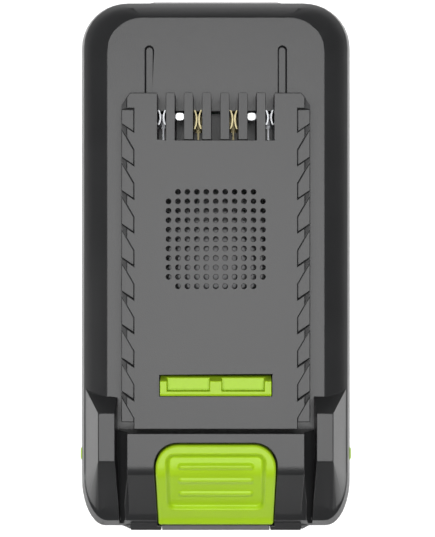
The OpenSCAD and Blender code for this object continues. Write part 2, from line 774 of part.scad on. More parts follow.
module sense_connector() color([0.90, 0.88, 0.80])
    difference() {
        box(connector_x[0], connector_x[1], connector_y, connector_y + connector_l, board_top,
            board_top + connector_h);
        box(connector_x[0] - cut, connector_x[1] - 1.5, connector_y + 1, connector_y + connector_l - 1,
            board_top + 1, board_top + connector_h - 1);
    }
module controller_chip() color([0.13, 0.13, 0.14]) {
    box(-chip_w / 2, chip_w / 2, rail_front_y - 1, rail_front_y - 1 + chip_l, board_top, board_top + chip_h);
    both_sides() for (j = [0:chip_pins - 1]) translate([chip_w / 2 - eps, rail_front_y - 0.4 + j * chip_pin_pitch,
        board_top]) cube([1.2, chip_pin_pitch / 2, chip_h / 3]);
}

// ---------------------------------------------------------------- cell block

function cell_y(i) = stack_far_y - cell_r - (i % row_cells) * cell_pitch;
function cell_z(i) = i < row_cells ? low_z : high_z;
// The poles alternate, so that the straps can join the cells in one chain
function cell_side(i) = ((i % row_cells) + (i < row_cells ? 1 : 0)) % 2 == 0 ? 1 : -1;

module cell(i) {
    s = cell_side(i);
    nub = pole_h;
    color(cell_green) translate([s < 0 ? -cell_l / 2 + nub : -cell_l / 2, cell_y(i), cell_z(i)])
        rotate([0, 90, 0]) cylinder(h = cell_l - nub, r = cell_r);
    color([0.8, 0.8, 0.82]) translate([s < 0 ? -cell_l / 2 : cell_l / 2 - nub - eps, cell_y(i), cell_z(i)])
        rotate([0, 90, 0]) cylinder(h = nub + eps, r = pole_r);
}

module cell_holder() color([0.16, 0.16, 0.17]) difference() {
    union() {
        box(holder_x - grip_l, holder_x, stack_near_y - holder_end, stack_far_y + holder_end, wall, holder_top);
        // Stand-offs under the circuit board
        for (y = board_screw_ys) box(board_screw_x - standoff_half, board_screw_x + standoff_half,
            y - standoff_half, y + standoff_half, holder_top - eps, board_z);
    }
    for (i = [0:2 * row_cells - 1]) rod_x(holder_x - grip_l - cut, holder_x + cut, cell_y(i), cell_z(i), cell_r);
    for (y = board_screw_ys) rod(board_screw_x, y, holder_top, board_z + cut, board_screw_r);
}
module cell_holder_left() mirror([1, 0, 0]) cell_holder();
module cell_holder_right() cell_holder();

// Strap of the given width from cell a to cell b on the right-hand face
module strap(a, b) {
    w = strap_half;
    box(holder_x, strap_x, min(cell_y(a), cell_y(b)) - w, max(cell_y(a), cell_y(b)) + w,
        min(cell_z(a), cell_z(b)) - w, max(cell_z(a), cell_z(b)) + w);
}

module straps_left() color([0.78, 0.77, 0.72]) mirror([1, 0, 0])
    for (i = [0:row_cells - 1]) strap(i, i + row_cells);
module straps_right() color([0.78, 0.77, 0.72]) {
    for (i = [0:2:row_cells - 2]) strap(i, i + 1);
    for (i = [1:2:row_cells - 2]) strap(i + row_cells, i + 1 + row_cells);
    // Tabs that bring the chain's two ends to their leads
    box(holder_x, strap_x, cell_y(0) - strap_half, cell_y(0) + strap_half, high_z - strap_half,
        holder_top + 2 * lead_r);
    box(holder_x, strap_x, stack_near_y - strap_half, cell_y(row_cells - 1) + strap_half, low_z - strap_half,
        low_z + strap_half);
}
module insulator() color([0.62, 0.60, 0.50])
    box(strap_x, sheet_x, stack_near_y + sheet_inset, stack_far_y - sheet_inset, wall + sheet_inset,
        holder_top - sheet_inset);
module insulator_left() mirror([1, 0, 0]) insulator();
module insulator_right() insulator();

// Round lead through a list of points
module lead(points, r) {
    for (i = [0:len(points) - 2]) let (d = points[i + 1] - points[i], l = norm(d))
        translate(points[i]) rotate([0, acos(d[2] / l), atan2(d[1], d[0])]) cylinder(h = l, r = r, $fn = small_fn);
    for (i = [1:len(points) - 2]) translate(points[i]) sphere(r = r * 1.04, $fn = small_fn);
}
module lead_positive() color([0.75, 0.10, 0.08])
    lead([[lead_x, cell_y(0) - 2 * lead_r, lead_z], [lead_x, rail_front_y + 4, lead_z],
        [lead_x - lead_bend, rail_front_y + 4 - lead_bend, board_top + lead_r],
        [board_w / 2 - 4, rail_front_y + 4 - 2 * lead_bend, board_top + lead_r]], lead_r);
module lead_negative() color([0.10, 0.10, 0.11])
    lead([[lead_x, stack_near_y - 2.5, low_z - lead_bend], [lead_x, stack_near_y - 2.5, lead_z],
        [lead_x, board_near_y + 2 * lead_bend, lead_z],
        [lead_x - lead_bend, board_near_y + 3 * lead_bend, board_top + lead_r],
        [board_w / 2 - 4, board_near_y + 4 * lead_bend, board_top + lead_r]], lead_r);

module sense_harness() color([0.80, 0.80, 0.78]) along(connector_y + 1.4, connector_y + connector_l - 1.4)
    polygon([[connector_x[1] - 1.7, board_top + 2], [connector_x[1] - 1.7, board_top + 2 + harness_t],
        [-sheet_x - harness_t, board_top + 2 + harness_t], [-sheet_x - harness_t, low_z], [-sheet_x, low_z],
        [-sheet_x, board_top + 2]]);
module thermistor() color([0.15, 0.20, 0.45]) {
    bead_z = high_z + cell_r + bead_r;
    y = cell_y(floor(row_cells / 2));
    translate([bead_x, y, bead_z]) sphere(r = bead_r, $fn = small_fn);
    lead([[bead_x, y, bead_z], [bead_x - bead_lead, y, bead_z], [bead_x - bead_lead, y, board_z]], wire_r);
}
module foam_far() color([0.22, 0.22, 0.23]) box(-foam_half, foam_half, stack_far_y + holder_end, far_y - wall,
    wall, max(high_z + cell_r / 2, split_z + seam_h + cut));
module foam_near() color([0.22, 0.22, 0.23])
    box(-foam_half, foam_half, side_end_y + wall, stack_near_y - holder_end, wall, low_z + cell_r / 2);

// ---------------------------------------------------------------- latch

module latch_base() color([0.20, 0.20, 0.21]) {
    box(4 - holder_x, holder_x - 4, min(stack_near_y + 0.5, spring_y - spring_d / 2 - spring_rim), board_near_y - 1,
        holder_top, seat_z);
    both_sides() rod(spring_x, spring_y, seat_z - eps, seat_z + spring_peg_h,
        spring_d / 2 - spring_wire - spring_gap);
}

// Helix of round wire, swept ring by ring
module spring(length) {
    rings = spring_rings;
    sides = spring_sides;
    steps = spring_turns * rings;
    r = spring_d / 2 - spring_wire / 2;
    climb = (length - spring_wire) / steps;
    points = [for (i = [0:steps]) let (a = 360 * i / rings) for (j = [0:sides - 1]) let (b = 360 * j / sides)
        [(r + spring_wire / 2 * cos(b)) * cos(a), (r + spring_wire / 2 * cos(b)) * sin(a),
        spring_wire / 2 + i * climb + spring_wire / 2 * sin(b)]];
    walls = [for (i = [0:steps - 1], j = [0:sides - 1]) let (a = i * sides + j, b = i * sides + (j + 1) % sides)
        [a, a + sides, b + sides, b]];
    ends = [[for (j = [0:sides - 1]) j], [for (j = [0:sides - 1]) steps * sides + sides - 1 - j]];
    polyhedron(points, concat(walls, ends));
}
module latch_spring_left() color([0.7, 0.7, 0.72]) translate([-spring_x, spring_y, seat_z]) spring(spring_l);
module latch_spring_right() color([0.7, 0.7, 0.72]) translate([spring_x, spring_y, seat_z]) spring(spring_l);

// Tooth, its post and the bridge that carries it to the button
module latch_slider() color(lime) {
    top = rail_z + tooth_proud;
    y1 = tooth_y + latch_tooth_l;
    difference() {
        across(-latch_tooth_w / 2, latch_tooth_w / 2) polygon([[tooth_y, bridge_z], [tooth_y, top - tooth_edge],
            [tooth_y + tooth_edge, top], [y1 - tooth_ramp[0], top], [y1, top - tooth_ramp[1]], [y1, bridge_z]]);
        // Two shallow panels in the leading face
        both_sides() box(panel_x[0], panel_x[1], tooth_y + panel_y, y1 + cut, top - panel_d, top + cut);
        // Cored from below
        both_sides() box(core_web, latch_tooth_w / 2 - core_wall, tooth_y + core_wall, y1 - core_wall,
            bridge_z - cut, rail_ceiling_z);
    }
    difference() {
        box(-bridge_half, bridge_half, bridge_end_y, tooth_y + eps, bridge_z, skirt_z);
        both_sides() rod(spring_x, spring_y, bridge_z - cut, skirt_z + cut, spring_d / 2 + 2 * cup_gap);
    }
}

// Side view of the button with its top lowered by d
module button_side(d) across(-button_w, button_w) polygon(concat([[nose_y, skirt_z - 2 * bridge_t],
    [centre_y, skirt_z - 2 * bridge_t], [centre_y, rail_z - d]], nose_top(d)));

module release_button() color(lime) {
    cup_rim_z = cup_z - 3;
    recess_x = recess_w / 2 - recess_r;
    recess_y = recess_l / 2 - recess_r;
    difference() {
        intersection() {
            slab(skirt_z - skirt_drop, rail_z + 2 * cut, button_plan(0));
            button_side(-button_proud);
        }
        // Hollow inside
        intersection() {
            slab(skirt_z - bridge_t, rail_z + cut, button_plan(-button_wall));
            button_side(button_wall);
        }
        // Clearance for the bridge, which the skirt stands on
        box(-button_w, button_w, bridge_end_y - skirt_gap, centre_y, skirt_z - bridge_t, skirt_z);
        // Thumb recess that follows the slope
        intersection() {
            above_nose(recess_d, -recess_w / 2, recess_w / 2);
            translate([0, button_back_y - recess_back - recess_l / 2, 0]) slab(skirt_z, rail_z + 2 * cut,
                [for (s = [[1, 1, 0], [-1, 1, 90], [-1, -1, 180], [1, -1, 270]])
                    each arc_points(s[0] * recess_x, s[1] * recess_y, recess_r, recess_r, s[2], s[2] + 90, 4)]);
        }
    }
    // Three grip ribs in the recess
    for (y = grip_rows) intersection() {
        box(-grip_w / 2, grip_w / 2, button_back_y - y - grip_t, button_back_y - y, skirt_z, rail_z + cut);
        difference() {
            above_nose(recess_d + grip_root, -grip_w / 2 - cut, grip_w / 2 + cut);
            above_nose(0, -grip_w / 2 - 2 * cut, grip_w / 2 + 2 * cut);
        }
    }
    // Cups over the springs
    both_sides() difference() {
        rod(spring_x, spring_y, cup_rim_z, rail_z - button_wall, spring_d / 2 + cup_gap + cup_wall);
        rod(spring_x, spring_y, cup_rim_z - cut, cup_z, spring_d / 2 + cup_gap);
    }
}

// ---------------------------------------------------------------- gauge

module gauge_bezel() color([0.36, 0.36, 0.37]) difference() {
    union() {
        box(-bezel_x, bezel_x, nose_y, nose_y + bezel_face_t, gauge_z, lip_z - ease);
        box(-bezel_x, bezel_x, nose_y + bezel_face_t - eps, nose_y + bezel_t, gauge_z, lip_z - bezel_step);
        // Hooks behind the tongue of the base shell, and legs that carry the gauge board
        both_sides() box(bezel_x - bezel_leg, bezel_x, side_end_y + wall, side_end_y + wall + bezel_leg,
            split_z + seam_h - bezel_hook, gauge_z + 1 + eps);
        both_sides() box(bezel_x - bezel_leg, bezel_x, nose_y + bezel_t - eps, gauge_board_y, gauge_z + 1,
            lip_z - bezel_step - 1);
    }
    rod_y(check_x, nose_y - cut, nose_y + bezel_t + cut, check_z, check_d / 2 + check_gap);
    box(light_slot_left, light_slot_x, nose_y - cut, nose_y + bezel_t + cut, check_z - light_slot_h / 2,
        check_z + light_slot_h / 2);
}
module gauge_lens() color([0.16, 0.18, 0.17])
    box(light_slot_left + lens_gap, light_slot_x - lens_gap, nose_y + lens_inset, nose_y + bezel_t,
        check_z - light_slot_h / 2 + lens_gap, check_z + light_slot_h / 2 - lens_gap);
module gauge_board() color([0.08, 0.30, 0.16])
    box(1 - bezel_x, bezel_x - 1, gauge_board_y, gauge_board_y + gauge_board_t, gauge_z - 4,
        lip_z - bezel_step - 0.6);
function light_x(i) = light_edge - bezel_x + i * (light_slot_x - light_slot_left - 2 * (light_edge - 2))
    / (light_count - 1);
module gauge_lights() color([0.75, 0.95, 0.70]) for (i = [0:light_count - 1])
    box(light_x(i) - light_half[0], light_x(i) + light_half[0], nose_y + bezel_t, gauge_board_y,
        check_z - light_half[1], check_z + light_half[1]);
module check_switch() color([0.15, 0.15, 0.16]) {
    box(check_x - switch_half, check_x + switch_half, gauge_board_y - switch_h, gauge_board_y,
        check_z - switch_half, check_z + switch_half);
    rod_y(check_x, gauge_board_y - switch_h - switch_pin, gauge_board_y - switch_h + eps, check_z, check_stem_r);
}
module check_button() color([0.22, 0.22, 0.23]) {
    rod_y(check_x, nose_y + 0.1, nose_y + bezel_t + ease, check_z, check_d / 2);
    rod_y(check_x, nose_y + bezel_t, gauge_board_y - switch_h - switch_pin - check_travel - check_gap, check_z,
        check_stem_r);
}

interface_cover();
base_shell();
end_pad();
accent_left();
accent_right();
terminal_block();
power_contact_positive();
power_contact_negative();
signal_contact_left();
signal_contact_right();
terminal_screws();
circuit_board();
board_shield();
power_transistors();
filter_capacitor();
current_shunt();
sense_connector();
controller_chip();
board_screws();
cell_holder_left();
cell_holder_right();
for (i = [0:2 * row_cells - 1]) cell(i);
straps_left();
straps_right();
insulator_left();
insulator_right();
lead_positive();
lead_negative();
sense_harness();
thermistor();
foam_far();
foam_near();
latch_base();
latch_spring_left();
latch_spring_right();
latch_slider();
release_button();
gauge_bezel();
gauge_lens();
gauge_board();
gauge_lights();
check_switch();
check_button();
housing_screws();
rating_label();
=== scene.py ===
"""Looks of a slide-on battery pack: finishes, eased edges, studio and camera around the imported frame."""

import json
import math

import bmesh
import bpy
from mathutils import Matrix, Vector
from mathutils.bvhtree import BVHTree

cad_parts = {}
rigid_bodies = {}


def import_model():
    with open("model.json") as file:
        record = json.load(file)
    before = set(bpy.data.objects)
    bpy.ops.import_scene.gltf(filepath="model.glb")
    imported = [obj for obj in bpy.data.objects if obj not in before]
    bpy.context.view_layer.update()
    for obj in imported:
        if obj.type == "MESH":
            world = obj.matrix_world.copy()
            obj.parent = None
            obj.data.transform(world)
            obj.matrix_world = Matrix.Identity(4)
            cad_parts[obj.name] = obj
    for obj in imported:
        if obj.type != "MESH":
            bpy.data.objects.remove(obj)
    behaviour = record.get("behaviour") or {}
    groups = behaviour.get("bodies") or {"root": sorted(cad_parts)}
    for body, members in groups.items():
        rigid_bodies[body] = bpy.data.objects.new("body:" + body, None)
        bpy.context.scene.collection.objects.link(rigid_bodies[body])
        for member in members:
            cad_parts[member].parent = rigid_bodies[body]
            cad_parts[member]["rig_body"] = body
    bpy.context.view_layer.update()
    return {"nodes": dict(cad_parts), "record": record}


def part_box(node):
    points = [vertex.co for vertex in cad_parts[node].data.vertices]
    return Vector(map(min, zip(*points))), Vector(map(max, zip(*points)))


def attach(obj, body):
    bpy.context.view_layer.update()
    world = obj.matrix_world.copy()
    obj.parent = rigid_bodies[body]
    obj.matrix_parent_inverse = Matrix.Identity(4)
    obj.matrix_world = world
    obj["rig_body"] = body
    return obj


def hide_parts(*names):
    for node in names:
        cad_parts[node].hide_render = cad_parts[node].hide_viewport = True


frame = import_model()
NODES = frame["nodes"]
SLOT_OF = {part["node"]: part["material_slot"] for part in frame["record"]["subparts"]}
MM = 0.001


# ------------------------------------------------------------------ shader maths

class Value:
    """A socket in a finish. Arithmetic on it adds Math nodes."""

    def __init__(self, finish, socket):
        self.finish, self.socket = finish, socket

    def math(self, operation, *values):
        return self.finish.add("Math", {"operation": operation}, dict(enumerate(values)))

    def __add__(self, other):
        return self.math("ADD", self, other)

    __radd__ = __add__

    def __mul__(self, other):
        return self.math("MULTIPLY", self, other)

    __rmul__ = __mul__

    def __sub__(self, other):
        return self.math("SUBTRACT", self, other)

    def __rsub__(self, other):
        return self.math("SUBTRACT", other, self)

    def __truediv__(self, other):
        return self.math("DIVIDE", self, other)

    def __rtruediv__(self, other):
        return self.math("DIVIDE", other, self)

    def __lt__(self, other):
        return self.math("LESS_THAN", self, other)

    def __gt__(self, other):
        return self.math("GREATER_THAN", self, other)

    def __abs__(self):
        return self.math("ABSOLUTE", self)

    def wrapped(self, period):
        """The value folded to a triangle wave from 0 to half the period."""
        return self.math("PINGPONG", self, period / 2)

    def eased(self, low, high):
        """0 below low, 1 above high, and a smooth step between."""
        return self.finish.add("MapRange", {"interpolation_type": "SMOOTHSTEP"},
                               {"Value": self, "From Min": low, "From Max": high})


class Finish:
    """A material with one Principled shader, built node by node."""

    def __init__(self, name):
        self.material = bpy.data.materials.new(name)
        self.material.use_nodes = True
        self.tree = self.material.node_tree
        self.shader = self.tree.nodes["Principled BSDF"]
        self.place = self.add("TexCoord", out="Object")

    def add(self, kind, settings=None, sockets=None, out=0):
        """Adds a node, its settings first and then its sockets, and gives its output."""
        node = self.tree.nodes.new("ShaderNode" + kind)
        for key, value in (settings or {}).items():
            setattr(node, key, value)
        for key, value in (sockets or {}).items():
            self.put(node.inputs[key], value)
        return Value(self, node.outputs[out])

    def put(self, socket, value):
        if isinstance(value, Value):
            self.tree.links.new(value.socket, socket)
        elif isinstance(value, tuple) and socket.type == "RGBA":
            socket.default_value = (*value, 1.0)
        else:
            socket.default_value = value

    def set(self, **sockets):
        """Sets the Principled shader's sockets, with underscores for the spaces in their names."""
        for key, value in sockets.items():
            self.put(self.shader.inputs[key.replace("_", " ")], value)
        return self

    # Patterns

    def noise(self, scale, detail=3.0, roughness=0.5, place=None):
        return self.add("TexNoise", None, {"Vector": place or self.place, "Scale": scale,
                                           "Detail": detail, "Roughness": roughness})

    def cells(self, scale):
        return self.add("TexVoronoi", {"feature": "F1"}, {"Vector": self.place, "Scale": scale}, "Distance")

    def stretched(self, x, y, z):
        return self.add("Mapping", None, {"Vector": self.place, "Scale": (x, y, z)})

    def along(self, axis):
        return self.add("SeparateXYZ", None, {"Vector": self.place}, axis)

    def mix(self, factor, first, second):
        """Mixes two colours. The node's colour sockets go by number, since its other sockets have the same names."""
        return self.add("Mix", {"data_type": "RGBA"}, {0: factor, 6: first, 7: second}, 2)

    def bump(self, height, strength, distance):
        return self.add("Bump", None, {"Height": height, "Strength": strength, "Distance": distance})


def shade(colour, factor):
    return tuple(channel * factor for channel in colour)


# ------------------------------------------------------------------ finishes

def moulded(name, colour, roughness, grain=2600.0, depth=0.35, contrast=0.10, **extra):
    """Spark-eroded moulded plastic: a fine grain in the surface and a faint flow mottle in the colour."""
    finish = Finish(name)
    flow = finish.noise(55.0, 2.0)
    speck = finish.noise(grain, 4.0, 0.6)
    tone = flow.eased(0.3, 0.7) * 0.6 + speck * 0.4
    finish.set(Base_Color=finish.mix(tone, shade(colour, 1 - contrast), shade(colour, 1 + contrast)),
               Roughness=speck * 0.16 + flow * 0.06 + (roughness - 0.11),
               Normal=finish.bump(speck, depth, 0.08 * MM), **extra)
    return finish


def brushed(name, colour, roughness, stretch):
    """Metal with fine lines along one direction and a few duller clouds."""
    finish = Finish(name)
    lines = finish.noise(1.0, 3.0, 0.6, finish.stretched(*stretch))
    cloud = finish.noise(260.0, 2.0)
    finish.set(Base_Color=finish.mix(cloud.eased(0.35, 0.7), shade(colour, 0.86), colour),
               Metallic=1.0, Roughness=lines * 0.14 + cloud * 0.10 + (roughness - 0.12),
               Normal=finish.bump(lines, 0.2, 0.03 * MM))
    return finish


def plated(name, colour, roughness):
    """Bright plate over pressed sheet, with a soft ripple and small dull spots."""
    finish = Finish(name)
    ripple = finish.noise(420.0, 2.0)
    spots = finish.cells(1500.0).eased(0.12, 0.3)
    finish.set(Base_Color=finish.mix(spots, shade(colour, 0.72), colour), Metallic=1.0,
               Roughness=ripple * 0.12 + (roughness - 0.04), Normal=finish.bump(ripple, 0.25, 0.06 * MM))
    return finish


def rubbery(name, colour, roughness):
    """Silicone sleeve with a dusty bloom and shallow creases."""
    finish = Finish(name)
    bloom = finish.noise(300.0, 4.0)
    crease = finish.noise(900.0, 2.0)
    finish.set(Base_Color=finish.mix(bloom.eased(0.4, 0.75), colour, shade(colour, 1.35)),
               Roughness=bloom * 0.2 + (roughness - 0.1), Normal=finish.bump(crease, 0.3, 0.05 * MM))
    return finish


def solder_mask(name):
    """Green board: copper tracks as raised lines under the mask, with dotted vias."""
    finish = Finish(name)
    x, y = finish.along("X"), finish.along("Y")
    bend = finish.noise(90.0, 1.0) * (4 * MM)
    track = (x + bend).wrapped(2.4 * MM).eased(0.55 * MM, 0.75 * MM)
    block = finish.cells(190.0).eased(0.28, 0.34)
    raised = track * block
    across, along, via_area = x.wrapped(6.6 * MM), y.wrapped(7.4 * MM), 0.22 * MM ** 2
    via = (across * across + along * along) < via_area
    green = finish.mix(raised, (0.010, 0.085, 0.040), (0.020, 0.150, 0.065))
    finish.set(Base_Color=finish.mix(via, green, (0.62, 0.48, 0.22)), Metallic=via * 0.9,
               Roughness=0.34 - raised * 0.08 + finish.noise(700.0) * 0.1, Coat_Weight=0.3,
               Normal=finish.bump(raised, 0.6, 0.04 * MM))
    return finish


def fibre_sheet(name):
    """Fibre paper: crossed fibres in colour and relief."""
    finish = Finish(name)
    long_way = finish.noise(1.0, 4.0, 0.7, finish.stretched(300.0, 300.0, 4200.0))
    cross_way = finish.noise(1.0, 4.0, 0.7, finish.stretched(300.0, 4200.0, 300.0))
    fibres = long_way * 0.5 + cross_way * 0.5
    finish.set(Base_Color=finish.mix(fibres.eased(0.35, 0.65), (0.30, 0.28, 0.20), (0.50, 0.47, 0.36)),
               Roughness=fibres * 0.2 + 0.62, Normal=finish.bump(fibres, 0.5, 0.06 * MM))
    return finish


def open_foam(name):
    """Foam with pores between cell walls in relief; its colour has painted shade, dark in the pores and paler on the
    walls.
    """
    finish = Finish(name)
    pores = finish.cells(1100.0)
    fine = finish.cells(2700.0)
    wall = pores.eased(0.18, 0.5) * 0.7 + fine * 0.3
    # Painted shade: where the wall mask is low, in the pores, the base colour goes dark, and it is paler up on the
    # walls.
    finish.set(Base_Color=finish.mix(wall, (0.008, 0.008, 0.009), (0.050, 0.050, 0.054)),
               Roughness=wall * 0.12 + 0.82, Normal=finish.bump(wall, 1.0, 0.25 * MM))
    return finish


def shrink_sleeve(name, colour):
    """Heat-shrunk film: faint lengthwise creases, a printed ring near each end and bare steel poles."""
    finish = Finish(name)
    ring_at, ring_half, pole_from = 29.5 * MM, 0.4 * MM, 31.7 * MM
    x = finish.along("X")
    creases = finish.noise(1.0, 3.0, 0.6, finish.stretched(25.0, 700.0, 700.0))
    ring = abs(abs(x) - ring_at) < ring_half
    pole = abs(x) > pole_from
    film = finish.mix(creases.eased(0.4, 0.7), shade(colour, 0.8), shade(colour, 1.2))
    banded = finish.mix(ring, film, shade(colour, 2.2))
    finish.set(Base_Color=finish.mix(pole, banded, (0.56, 0.56, 0.55)), Metallic=pole,
               Roughness=creases * 0.12 + 0.24, Normal=finish.bump(creases, 0.35, 0.08 * MM))
    return finish


def cast_resin(name, colour, roughness):
    """Moulded epoxy with pin marks and a grainy top."""
    finish = Finish(name)
    grain = finish.noise(1900.0, 4.0, 0.65)
    marks = finish.cells(330.0).eased(0.06, 0.12)
    finish.set(Base_Color=finish.mix(grain, shade(colour, 0.7), shade(colour, 1.5)),
               Roughness=grain * 0.2 + (roughness - 0.1),
               Normal=finish.bump(grain * 0.6 + marks * 0.4, 0.45, 0.06 * MM))
    return finish


def smoked(name):
    """Smoked lens: glossy, nearly black, with faint moulding ripple."""
    finish = Finish(name)
    ripple = finish.noise(120.0, 2.0)
    finish.set(Base_Color=finish.mix(ripple, (0.012, 0.014, 0.013), (0.030, 0.034, 0.030)),
               Roughness=ripple * 0.05 + 0.06, Coat_Weight=0.4, Normal=finish.bump(ripple, 0.1, 0.05 * MM))
    return finish


def light_pipe(name):
    """Clear-tinted light pipe with a painted glow: the base colour is brighter at the core of each cell."""
    finish = Finish(name)
    painted_glow_core = finish.cells(480.0).eased(0.1, 0.6)
    # Painted glow: the pale colour at each cell's core stands in for light inside the pipe, which no lamp gives.
    finish.set(Base_Color=finish.mix(painted_glow_core, (0.80, 0.95, 0.72), (0.52, 0.74, 0.44)),
               Roughness=painted_glow_core * 0.2 + 0.15, Normal=finish.bump(painted_glow_core, 0.2, 0.05 * MM))
    return finish


def label_film(name):
    """Blank satin label: faint print ghosting in bands and a fine film texture."""
    finish = Finish(name)
    y = finish.along("Y")
    band = y.wrapped(18 * MM).eased(5.2 * MM, 5.6 * MM)
    film = finish.noise(1400.0, 3.0)
    finish.set(Base_Color=finish.mix(band, (0.56, 0.57, 0.58), (0.64, 0.65, 0.66)),
               Roughness=film * 0.14 + 0.34, Normal=finish.bump(film, 0.15, 0.03 * MM))
    return finish


HOUSING = (0.0215, 0.0218, 0.0225)
LIME = (0.335, 0.540, 0.012)

FINISHES = {
    "housing_plastic": moulded("housing_plastic", HOUSING, 0.32),
    "light_grey_plastic": moulded("light_grey_plastic", (0.42, 0.42, 0.42), 0.45),
    "lime_plastic": moulded("lime_plastic", LIME, 0.40, grain=2200.0, depth=0.18, contrast=0.04,
                             Specular_IOR_Level=0.38),
    "terminal_plastic": moulded("terminal_plastic", shade(HOUSING, 1.05), 0.36),
    "silver_contact": plated("silver_contact", (0.52, 0.53, 0.55), 0.46),
    "brass_contact": plated("brass_contact", (0.50, 0.44, 0.26), 0.48),
    "bright_steel": plated("bright_steel", (0.60, 0.61, 0.62), 0.40),
    "board_green": solder_mask("board_green"),
    "shield_grey": moulded("shield_grey", (0.36, 0.36, 0.37), 0.55, grain=1500.0, depth=0.5),
    "black_resin": cast_resin("black_resin", (0.016, 0.016, 0.018), 0.45),
    "capacitor_sleeve": rubbery("capacitor_sleeve", (0.012, 0.022, 0.085), 0.38),
    "copper_alloy": brushed("copper_alloy", (0.72, 0.45, 0.30), 0.34, (3000.0, 120.0, 3000.0)),
    "cream_nylon": moulded("cream_nylon", (0.62, 0.58, 0.44), 0.42, grain=1800.0, depth=0.2, contrast=0.06),
    "holder_black": moulded("holder_black", (0.014, 0.014, 0.016), 0.5, grain=1800.0, depth=0.5),
    "cell_sleeve": shrink_sleeve("cell_sleeve", (0.020, 0.130, 0.075)),
    "nickel": brushed("nickel", (0.62, 0.60, 0.56), 0.33, (3000.0, 120.0, 3000.0)),
    "insulating_sheet": fibre_sheet("insulating_sheet"),
    "red_lead": rubbery("red_lead", (0.42, 0.016, 0.012), 0.45),
    "black_lead": rubbery("black_lead", (0.012, 0.012, 0.013), 0.45),
    "white_lead": rubbery("white_lead", (0.52, 0.52, 0.49), 0.5),
    "thermistor_resin": cast_resin("thermistor_resin", (0.020, 0.030, 0.110), 0.3),
    "foam": open_foam("foam"),
    "spring_steel": brushed("spring_steel", (0.60, 0.60, 0.61), 0.28, (2500.0, 2500.0, 2500.0)),
    "bezel_plastic": moulded("bezel_plastic", (0.060, 0.060, 0.062), 0.42),
    "smoked_lens": smoked("smoked_lens"),
    "gauge_light": light_pipe("gauge_light"),
    "soft_button": rubbery("soft_button", (0.020, 0.020, 0.021), 0.6),
    "label_film": label_film("label_film"),
}


# ------------------------------------------------------------------ pieces

# Start of the test ray off an edge, and the small corners that have no room for a round
RAY_START = 0.05 * MM
TIGHT_AREA, TIGHT_SIDES, TIGHT_ANGLE = 6 * MM ** 2, 4, math.radians(35.0)
# Least angle of an edge that gets a round, least angle that stays visible next to a large face, and its area
SHARPEST, VISIBLE, LARGE_FACE = math.radians(24.0), math.radians(21.5), 25 * MM ** 2
# Least likeness of a face that gives a round its normal, and how far it may be below the closest face's
WITHIN, NEARLY = 0.5, 0.02
# Points this close are merged, and faces this flat to each other are joined
CLOSE, FLAT = 0.015 * MM, math.radians(0.3)
FINE_ROUND, ROUND_STEPS = 0.16 * MM, 2
# Angle from which an edge of a node, or of the button, is shaded as a crease
NODE_CREASE, BUTTON_CREASE = math.radians(30.0), math.radians(40.0)


def skin_tree():
    """Every node's surface in one tree, to tell the edges on the outside from those inside the housing."""
    points, faces = [], []
    for node in NODES.values():
        base = len(points)
        node.data.calc_loop_triangles()
        points += [vert.co for vert in node.data.vertices]
        faces += [[base + index for index in face.vertices] for face in node.data.loop_triangles]
    return BVHTree.FromPolygons(points, faces)


SKIN = skin_tree()


def exposed(edge):
    """Whether a straight line leads out of the pack from the open side of the edge."""
    one, other = edge.link_faces[0].normal, edge.link_faces[1].normal
    middle = (edge.verts[0].co + edge.verts[1].co) / 2
    start = middle + (one + other).normalized() * RAY_START
    upward = Vector((0.0, 0.0, 2.0))
    ways = (one + other, one * 3 + other, one + other * 3, one + other + upward)
    return any(SKIN.ray_cast(start, way.normalized())[0] is None for way in ways)


def tight(edge):
    """Whether the edge ends in a small sharp corner with no room for a round."""
    for corner in edge.link_loops:
        if corner.face.calc_area() < TIGHT_AREA and len(corner.face.verts) <= TIGHT_SIDES:
            if min(corner.calc_angle(), corner.link_loop_next.calc_angle()) < TIGHT_ANGLE:
                return True
    return False


def hardened(shape, rounds):
    """Corner normals for an eased mesh: flats stay flat, curves stay smooth and the rounds blend."""
    area = {face: face.calc_area() for face in shape.faces}

    def likeness(face, other):
        """Cosine of the angle between two faces."""
        return face.normal.dot(other.normal)

    def blends(face, other):
        large = max(area[face], area[other]) >= LARGE_FACE
        return likeness(face, other) > math.cos(VISIBLE if large else SHARPEST)

    def sources(face, around):
        """The faces that give the normal at one corner of a face."""
        flats = [other for other in around if other not in rounds]
        if face not in rounds:
            return [other for other in flats if other is face or blends(face, other)]
        flats = [other for other in flats if likeness(face, other) > WITHIN]
        if not flats:
            return [other for other in around if likeness(face, other) > WITHIN]
        closest = max(likeness(face, other) for other in flats)
        return [other for other in flats if likeness(face, other) > closest - NEARLY]

    normals = []
    for face in shape.faces:
        for corner in face.loops:
            total = Vector((0.0, 0.0, 0.0))
            for other in sources(face, corner.vert.link_faces):
                total += other.normal * area[other]
            normals.append(total.normalized() if total.length > 0 else face.normal.copy())
    return normals


def stands_for(mesh, node):
    """Makes a mesh the visible, smooth piece of a node, with its finish and its body."""
    for face in mesh.polygons:
        face.use_smooth = True
    piece = bpy.data.objects.new(node + "_piece", mesh)
    bpy.context.scene.collection.objects.link(piece)
    mesh.materials.clear()
    mesh.materials.append(FINISHES[SLOT_OF[node]].material)
    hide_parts(node)
    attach(piece, NODES[node]["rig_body"])


